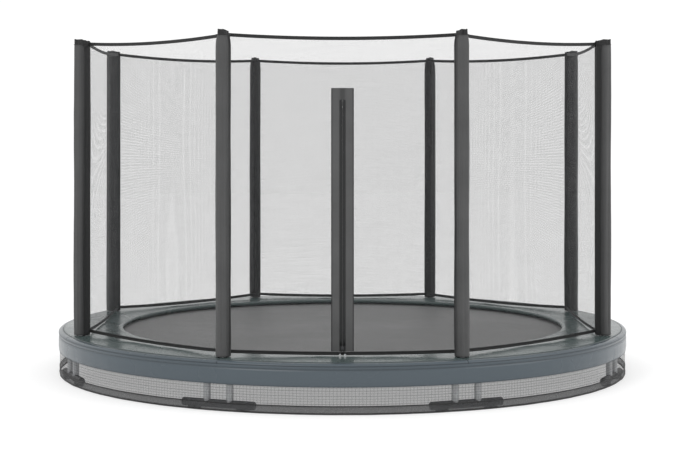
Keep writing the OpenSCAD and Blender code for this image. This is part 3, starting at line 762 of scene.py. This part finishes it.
def sleeve(k):
    """A padded fabric column: soft upright folds, a bound foot and a black crown round the cap; its
    inner half is dark, with painted shade across the sides next to it and a painted shadow along the
    foot's bottom edge.
    """
    low, high = sleeve_low.z, sleeve_top
    foot = [0.0, 0.0012, 0.004, 0.010, 0.018, 0.022, 0.030]
    crown = [-0.018, -0.010, -0.005, 0.0, 0.004, 0.009, 0.015, 0.021, 0.026, 0.029]
    heights = np.concatenate([low + np.array(foot), np.linspace(low + 0.045, high - 0.030, 60),
                              high + np.array(crown)])
    t = np.linspace(0, math.tau, 84, endpoint=False)
    x, y = SLEEVE_T / 2 * np.cos(t), SLEEVE_W / 2 * np.sin(t)
    z, phase, tt = heights[:, None], 1.9 * k, t[None]
    fold = ripple((0.0016, 5 * tt + phase + 0.9 * np.sin(1.6 * z + phase)),
                  (0.0012, 9 * tt - 0.7 * phase + 1.3 * np.sin(2.3 * z)),
                  (0.0006, 16 * tt + 3.1 * z + phase),
                  (0.0004, 27 * tt + 7 * np.sin(5 * z + phase)))
    slack = 0.0011 * np.sin(7.3 * z + 2 * phase) * np.sin(2 * tt + phase)
    seam = -0.0016 * (line(tt - SEAM_AT, 0.05) + line(tt - 4.58, 0.05))
    crease = 0.10 * np.sin(1.1 * z + phase)
    seam = seam - 0.0015 * (line(tt - 0.85 - crease, 0.10) + line(tt - 5.60 - crease, 0.12))
    hem = 0.0008 * (1 - ease(z, low + 0.018, low + 0.023))
    hem = hem - 0.0012 * (1 - ease(z, low - 0.001, low + 0.003))
    out = fold * (0.35 + 0.65 * ease(z, low, low + 0.08)) - 0.0013 + slack + seam + hem
    close = ease(z, high - 0.050, high + 0.026)
    loose = ease(z, high - 0.012, high + 0.012)
    gather = ripple((0.0016, 13 * tt + phase), (0.0012, 21 * tt - 2 * phase), (0.0008, 34 * tt + phase))
    gather = gather * loose
    out = out + 0.0020 * (1 - ease(z, high - 0.004, high - 0.001))
    wide = (x[None] + out * np.cos(tt)) * (1 - 0.02 * close) + gather * np.cos(tt)
    deep = (y[None] + out * np.sin(tt)) * (1 - 0.40 * close) + gather * np.sin(tt)
    lift = ripple((0.0016, 4 * tt + phase), (0.0011, 9 * tt + 2 * phase)) - 0.0045 * (1 - np.cos(tt))
    lift = lift * ease(z, high + 0.004, high + 0.029)
    middle = np.zeros_like(tt)
    rows = [(middle, middle, middle + z[:1]), (wide, deep, z + lift)]
    for size, sink in ((0.93, 0.0005), (0.80, -0.0015), (0.55, -0.0005), (0.30, 0.0010), (0.0, 0.0015)):
        rows.append((wide[-1:] * size + 0.007 * (1 - size), deep[-1:] * size,
                     z[-1:] + lift[-1:] * size + sink))
    wide, deep, rise = (np.concatenate(parts) for parts in zip(*rows))
    points = turned(POLES[k], sleeve_r + wide, deep, rise)
    # A dark inner half, and a ramp of painted shade across the sides that leads into it.
    inner = np.maximum(1 - ease(wide, -0.0050, -0.0030), 0.72 * (1 - ease(wide, -0.004, 0.036)))
    inner = np.maximum(inner, ease(rise, high - 0.003, high - 0.001))
    # A painted shadow along the bottom edge of the foot.
    inner = np.maximum(inner, 1 - ease(rise, low + 0.0025, low + 0.0030))
    round_it = lengths(np.stack([np.append(x, x[0]), np.append(y, y[0])], 1))
    along = np.concatenate([[low - 0.03], heights, high + 0.03 + 0.008 * np.arange(1, 6)])
    body = patch(points, round_it, along, wrap=True, inner=inner)
    piece = build(f"pole_sleeve_{k + 1}", [body], "sleeve", "frame")
    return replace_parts(piece, "pole_sleeves", "pole_foams")


def sleeve_trims(k):
    """Black bindings down both sides and where the net enters, and the cord that gathers the crown."""
    z = np.linspace(sleeve_low.z + 0.010, sleeve_top - 0.006, 110)
    patches = []
    for s in (-1, 1):
        for t, width in ((SEAM_AT, 0.0085), (2.93, 0.0100)):
            wave = 0.0010 * np.sin(19 * z + 2.1 * k + s) + 0.0007 * np.sin(47 * z + s + t)
            at = t + wave / 0.04
            x, y = (SLEEVE_T / 2 - 0.0002) * np.cos(at), (SLEEVE_W / 2 - 0.0002) * np.sin(at)
            path = turned(POLES[k], sleeve_r + x, s * y, z)
            side = turned(POLES[k], -np.sin(at) * SLEEVE_T, s * np.cos(at) * SLEEVE_W, 0.0 * z)
            side, along = unit(side), unit(np.gradient(path, axis=0))
            patches.append(sweep(path, side, np.cross(side, along), rounded(width, 0.0030, 0.0013, 2)))
    t = np.linspace(0, math.tau, 60, endpoint=False)
    x, y = (SLEEVE_T / 2 + 0.0006) * np.cos(t), (SLEEVE_W / 2 + 0.0006) * np.sin(t)
    cord = turned(POLES[k], sleeve_r + x, y, sleeve_top - 0.0015 + 0.0010 * np.sin(5 * t + k))
    patches.append(tube(cord, 0.0021, closed=True))
    return build(f"sleeve_trim_{k + 1}", patches, "webbing", "frame")


for k in range(SIDES):
    sleeve(k)
    sleeve_trims(k)

# ------------ bands and net

QUARTER = [(0.0, 0.0098), (0.0018, 0.0092), (0.0026, 0.0072), (0.0027, 0.0046), (0.0021, 0.0018),
           (0.0012, 0.0004)]
TWIN = np.array(QUARTER + [(x, -z) for x, z in QUARTER[::-1]]
                + [(-x, -z) for x, z in QUARTER[1:]] + [(-x, z) for x, z in QUARTER[:0:-1]])


def sag(s, height, drop):
    return height - drop * (1 - (s / half_side) ** 2)


def band(name, node, height, drop, reach):
    """Webbing doubled along its middle, hanging between the poles in one span to each panel."""
    patches = []
    for k, turn in enumerate(PANELS):
        s = np.linspace(-reach, reach, 70)
        wave = 0.0007 * np.sin(31 * s + 1.3 * k) + 0.0004 * np.sin(73 * s + k)
        path = turned(turn, net_flat + wave, s, sag(s, height, drop))
        patches.append(sweep(path, outward(turn), UP, TWIN))
    piece = build(name, patches, "webbing", "frame")
    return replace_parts(piece, node)


def net_cloth(name, k, a, b, low=None, waves=1.0):
    """A stretch of net between the bands, or from a height up to the top band."""
    s, t = np.linspace(a, b, 44), np.linspace(0, 1, 56)
    bottom = sag(s, foot_z, FOOT_SAG) + BAND_H / 2 - NET_LAP if low is None else np.full_like(s, low)
    top = sag(s, top_z, TOP_SAG) - BAND_H / 2 + NET_LAP
    z = bottom[None] + (top - bottom)[None] * t[:, None]
    held = np.sin(math.pi * t)[:, None] ** 0.6
    edge = line(half_side - np.abs(s), 0.05)[None]
    bulge = waves * held * ripple((0.0003, 5 * s[None] + 3.0 * z + k), (0.0008 * edge, 60 * z + k))
    points = turned(PANELS[k], net_flat - 0.0008 + bulge, s[None], z)
    cloth = patch(points, s, t * (top - bottom).mean())
    piece = build(name, [cloth], "net", "frame")
    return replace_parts(piece, "safety_net")


band("upper_band", "top_band", top_z, TOP_SAG, half_side - 0.003)
band("lower_band", "bottom_band", foot_z, FOOT_SAG, half_side - 0.010)
net_edge = half_side - SLEEVE_REACH + NET_LAP
for k in range(SIDES):
    if k == FRONT:
        net_cloth("net_front_left", k, -net_edge, -door_half, waves=0.4)
        net_cloth("net_front_right", k, door_half, net_edge, waves=0.4)
        net_cloth("net_over_door", k, -door_half, door_half, low=door_high.z - 0.004, waves=0.4)
    else:
        net_cloth(f"net_panel_{k + 1}", k, -net_edge, net_edge)

# ------------ door and zip


TAPE_IN, TAPE_OUT, tape_y = 0.0006, 0.0165, door_y - 0.0016


def door_cloth(x0, x1, z0, z1):
    """A flat double layer of door fabric, darker along its bound edges."""
    xs = np.unique(np.concatenate([np.linspace(x0, x1, 15), [x0 + 0.0035, x1 - 0.0035]]))
    zs = np.linspace(z0, z1, max(4, int((z1 - z0) / 0.02)))
    x, z = np.meshgrid(xs, zs)
    soft = 0.0006 * np.sin(38 * z + 40 * x) * np.sin(math.pi * (x - x0) / (x1 - x0))
    from_edge = door_half - np.abs(x)
    edge = np.maximum(1 - ease(from_edge, 0.0035, 0.0060), 0.55 * (1 - ease(np.abs(x), 0.016, 0.019)))
    thick = 0.0009 * (1 - 0.5 * (1 - ease(from_edge, 0.0, 0.002)))
    sides = [np.stack([x, door_y + soft + side * thick, z], -1) for side in (-1, 1)]
    faces = [patch(points, xs, zs, edge=edge) for points in sides]
    for end in (0, -1):
        across = np.stack([points[end] for points in sides], 1)
        upright = np.stack([points[:, end] for points in sides], 1)
        faces.append(patch(across, [0, 0.002], xs, edge=np.stack([edge[end]] * 2, 1)))
        faces.append(patch(upright, [0, 0.002], zs, edge=np.stack([edge[:, end]] * 2, 1)))
    return faces


def teeth_row(side, z0, z1):
    """One side of the zip: small interlocking loops on a cord."""
    pitch, patches = 0.0028, []
    shape = np.array([(0.0034, 0.0), (0.0030, 0.0009), (0.0006, 0.0011), (-0.0006, 0.0006),
                      (-0.0008, 0.0), (-0.0006, -0.0006), (0.0006, -0.0011), (0.0030, -0.0009)])
    for n in range(int((z1 - z0) / pitch)):
        z = z0 + (n + (0.5 if side > 0 else 0.0)) * pitch
        path = np.array([(0.0, door_y - out, z) for out in (0.0030, 0.0027, 0.0007)])
        patches.append(sweep(path, RIGHT * side, UP, shape * [1.0, 0.8]))
    return patches


def tape(z0, z1, side):
    path = np.array([(side * (TAPE_IN + TAPE_OUT) / 2, tape_y, z) for z in np.linspace(z0, z1, 40)])
    return sweep(path, RIGHT, BACK, rounded(TAPE_OUT - TAPE_IN, 0.0011, 0.0005, 2))


def door():
    """The grey strip each side of the zip: its middle stretch opens, its ends stay sewn."""
    zip_low, zip_high = (corner.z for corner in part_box("zip_ends"))
    low, high = flap_low.z, flap_high.z
    ends, tapes, teeth = [], [], []
    for s in (-1, 1):
        a, b = sorted((s * FLAP_IN, s * door_half))
        ends += door_cloth(a, b, door_low.z, low)
        ends += door_cloth(a, b, high, zip_high)
        for z0, z1 in ((zip_low, low), (high, zip_high)):
            tapes.append(tape(z0, z1, s))
            teeth += teeth_row(s, z0 + 0.0032, z1 - (0.0032 if z1 == zip_high else 0.0))
    ends += door_cloth(-door_half, door_half, zip_high, door_high.z)
    panel = build("door_ends", ends, "door", "frame", sharp=50)
    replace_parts(panel, "door_end_panels")
    stops = [sweep([(x, tape_y, z) for x in np.linspace(-0.0042, 0.0042, 5)], BACK, UP,
                   rounded(0.0030, 0.0030, 0.0010, 3))
             for z in (zip_low + 0.0015, zip_high - 0.0015)]
    fixed_tape = build("zip_tape_ends", tapes, "webbing", "frame")
    build("zip_teeth_ends", teeth, "teeth", "frame")
    build("zip_stops", stops, "slider", "frame", sharp=40)
    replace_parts(fixed_tape, "zip_ends")
    for s, word in ((-1, "left"), (1, "right")):
        a, b = sorted((s * FLAP_IN, s * door_half))
        flap = build(f"door_{word}", door_cloth(a, b, low, high), "door", sharp=50)
        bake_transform(flap)
        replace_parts(flap, f"door_flap_{word}")
        own_tape = build(f"zip_tape_edge_{word}", [tape(low, high, s)], "webbing", f"{word}_flap")
        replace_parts(own_tape, f"zip_tape_{word}")
        own_teeth = build(f"zip_teeth_{word}", teeth_row(s, low, high), "teeth", f"{word}_flap")
        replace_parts(own_teeth, f"zip_coil_{word}")


def column(path, outline, width, depth, around=0.03, tall=0.024):
    """An upright closed shape: a level outline at each point of a path, scaled in width and depth."""
    size = np.stack([width, depth, np.zeros_like(width)], 1)
    flat = np.column_stack([outline, np.zeros(len(outline))])
    rows = np.asarray(path)[:, None] + flat[None] * size[:, None]
    first, last = (np.repeat(rows[e].mean(0)[None, None], len(outline), 1) for e in (0, -1))
    across, along = np.linspace(0, around, len(outline) + 1), np.linspace(0, tall, len(rows) + 2)
    return patch(np.concatenate([first, rows, last]), across, along, wrap=True)


def slider():
    """The zip's slider with its bridge, and two short straps down to the bar that carries the tabs."""
    height = 0.024
    base = slider_high.z - height
    body = []
    for depth, thick in ((-0.0044, 0.0020), (0.0023, 0.0016)):
        up = np.linspace(0, 1, 15)
        width = 0.0076 * (0.72 + 0.28 * np.sin(math.pi * np.clip(up * 1.15 - 0.1, 0, 1)) ** 0.7)
        width *= np.clip(1.25 - np.abs(up - 0.5) ** 6 * 30, 0.5, 1)
        path = [(0.0, door_y + depth, base + height * t) for t in up]
        body.append(column(path, rounded(2.0, 1.0, 0.30, 3), width, np.full(15, thick)))
    post = [(0.0, door_y + d, base + 0.005) for d in np.linspace(-0.0040, 0.0020, 4)]
    body.append(sweep(post, RIGHT, UP, rounded(0.0013, 0.0075, 0.0006, 2)))
    a = np.linspace(0, math.pi, 13)
    loop = [0 * a, door_y - 0.0052 - 0.0042 * np.sin(a), base + 0.012 + 0.0065 * np.cos(a)]
    body.append(tube(np.stack(loop, 1), 0.0012))
    piece = build("zip_slider_body", body, "slider", "slider", sharp=50)
    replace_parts(piece, "zip_slider")

    bail_y, bail_z = (tab_low.y + tab_high.y) / 2, tab_high.z - 0.0032
    bar = [(x, bail_y, bail_z) for x in np.linspace(-0.0206, 0.0206, 9)]
    knobs = [tube([(s * x, bail_y, bail_z) for x in (0.0197, 0.0203, 0.0209, 0.0213)], 0.0026, 12)
             for s in (-1, 1)]
    build("tab_bar", [tube(bar, 0.0014, 12), *knobs], "slider", "slider", sharp=50)
    straps = []
    for s in (-1, 1):
        hung = [(s * x, door_y - y, base + z)
                for x, y, z in ((0.0012, 0.0072, 0.0075), (0.0022, 0.0082, 0.0035),
                                (0.0038, 0.0084, -0.001))]
        round_bar = [(s * x, bail_y + y, bail_z + z)
                     for x, y, z in ((0.0056, -0.0020, 0.0020), (0.0060, -0.0022, -0.0006),
                                     (0.0060, 0.0, -0.0022), (0.0060, 0.0022, -0.0004),
                                     (0.0056, 0.0018, 0.0022))]
        strap = np.array(hung + round_bar)
        way = np.gradient(strap, axis=0)
        side = unit(RIGHT - way * (way[:, :1] / (way ** 2).sum(1)[:, None]))
        lift = unit(np.cross(side, way))
        straps.append(sweep(strap, side, lift, rounded(0.0046, 0.0010, 0.0004, 2)))
    build("tab_straps", straps, "webbing", "slider")
    return bail_y, bail_z


def tabs(bail_y, bail_z):
    """Bright tabs: an eye on the bar, a round-cornered plate and a cloth loop over the eye."""
    width, drop = tab_high.x - tab_low.x, bail_z - tab_low.z
    eye_r, bore_r = 0.0026, 0.00158
    eye = [(-1, eye_r), (-0.97, 0.0031), (0.97, 0.0031), (1, eye_r), (1, bore_r), (-1, bore_r),
           (-1, eye_r)]
    t = np.linspace(0, math.tau, 24, endpoint=False)
    for s, word in ((-1, "left"), (1, "right")):
        x0 = s * (tab_low.x + tab_high.x) / 2
        rows = [[np.full(24, x0 + x * width / 2), bail_y + r * np.cos(t), bail_z + r * np.sin(t)]
                for x, r in eye]
        rows = np.moveaxis(np.array(rows), 1, 2)
        parts = [patch(rows, np.linspace(0, 0.02, 25), np.linspace(0, 0.02, 7), wrap=True)]
        outline = rounded(width, drop - eye_r, 0.0036, 5)
        centre = bail_z - eye_r - (drop - eye_r) / 2
        plate = []
        for depth, wide, high in ((-0.0006, 1e-4, 1e-4), (-0.0006, 0.90, 0.95), (-0.0010, 0.95, 0.975),
                                  (-0.0006, 1.0, 1.0), (0.0006, 1.0, 1.0), (0.0010, 0.95, 0.975),
                                  (0.0006, 0.90, 0.95), (0.0006, 1e-4, 1e-4)):
            plate.append(np.stack([x0 + outline[:, 0] * wide, np.full(len(outline), bail_y + depth),
                                   centre + outline[:, 1] * high], 1))
        around = np.linspace(0, 0.05, len(outline) + 1)
        parts.append(patch(np.array(plate), around, np.linspace(0, 0.02, 8), wrap=True))
        fold = [(x0, bail_y, z) for z in np.linspace(bail_z + 0.0042, bail_z - 0.0088, 9)]
        pinch = np.array([0.30, 0.62, 0.86, 1.0, 0.97, 0.85, 0.62, 0.42, 0.34])
        loop = column(fold, rounded(width + 0.0006, 0.0080, 0.0020, 3), np.ones(9), pinch, 0.04, 0.013)
        build(f"tab_loop_{word}", [loop], "webbing", f"{word}_tab", sharp=60)
        piece = build(f"zip_tab_{word}", parts, "chrome", f"{word}_tab", sharp=40)
        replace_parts(piece, f"pull_tab_{word}")


door()
tabs(*slider())

# ------------ room, light and camera


def floor():
    size, drop = 30.0, 0.0005
    grid = np.linspace(-size, size, 3)
    x, y = np.meshgrid(grid, grid)
    points = np.stack([x, y, np.full_like(x, -drop)], -1)
    build("studio_floor", [patch(points, grid, grid)], "floor")


def area_light(name, spot, size, power):
    data = bpy.data.lights.new(name, "AREA")
    data.shape, data.size, data.energy = "DISK", size, power
    lamp = bpy.data.objects.new(name, data)
    lamp.location = spot
    lamp.rotation_euler = (Vector((0, 0, 0.8)) - Vector(spot)).to_track_quat("-Z", "Y").to_euler()
    bpy.context.scene.collection.objects.link(lamp)


def studio():
    world = bpy.data.worlds.new("studio")
    world.use_nodes = True
    back = world.node_tree.nodes["Background"]
    back.inputs[0].default_value = (1.0, 1.0, 1.0, 1.0)
    back.inputs[1].default_value = 1.05
    scene = bpy.context.scene
    scene.world = world
    scene.view_settings.view_transform = "Standard"
    area_light("key", (-4.5, -7.0, 7.0), 5.0, 200.0)
    area_light("fill", (6.5, -3.0, 4.0), 5.0, 90.0)


def camera():
    """Level, a little above the net's middle, with the view shifted down to the object."""
    width, focal = 700.0, 1570.0
    data = bpy.data.cameras.new("camera")
    data.sensor_width = 36.0
    data.lens = focal / width * data.sensor_width
    data.shift_x, data.shift_y = 7.5 / width, -91.0 / width
    data.clip_end = 100.0
    view = bpy.data.objects.new("camera", data)
    view.location = (0.0, -10.29, 1.518)
    view.rotation_euler = (math.pi / 2, 0.0, 0.0)
    bpy.context.scene.collection.objects.link(view)
    bpy.context.scene.camera = view


floor()
studio()
camera()
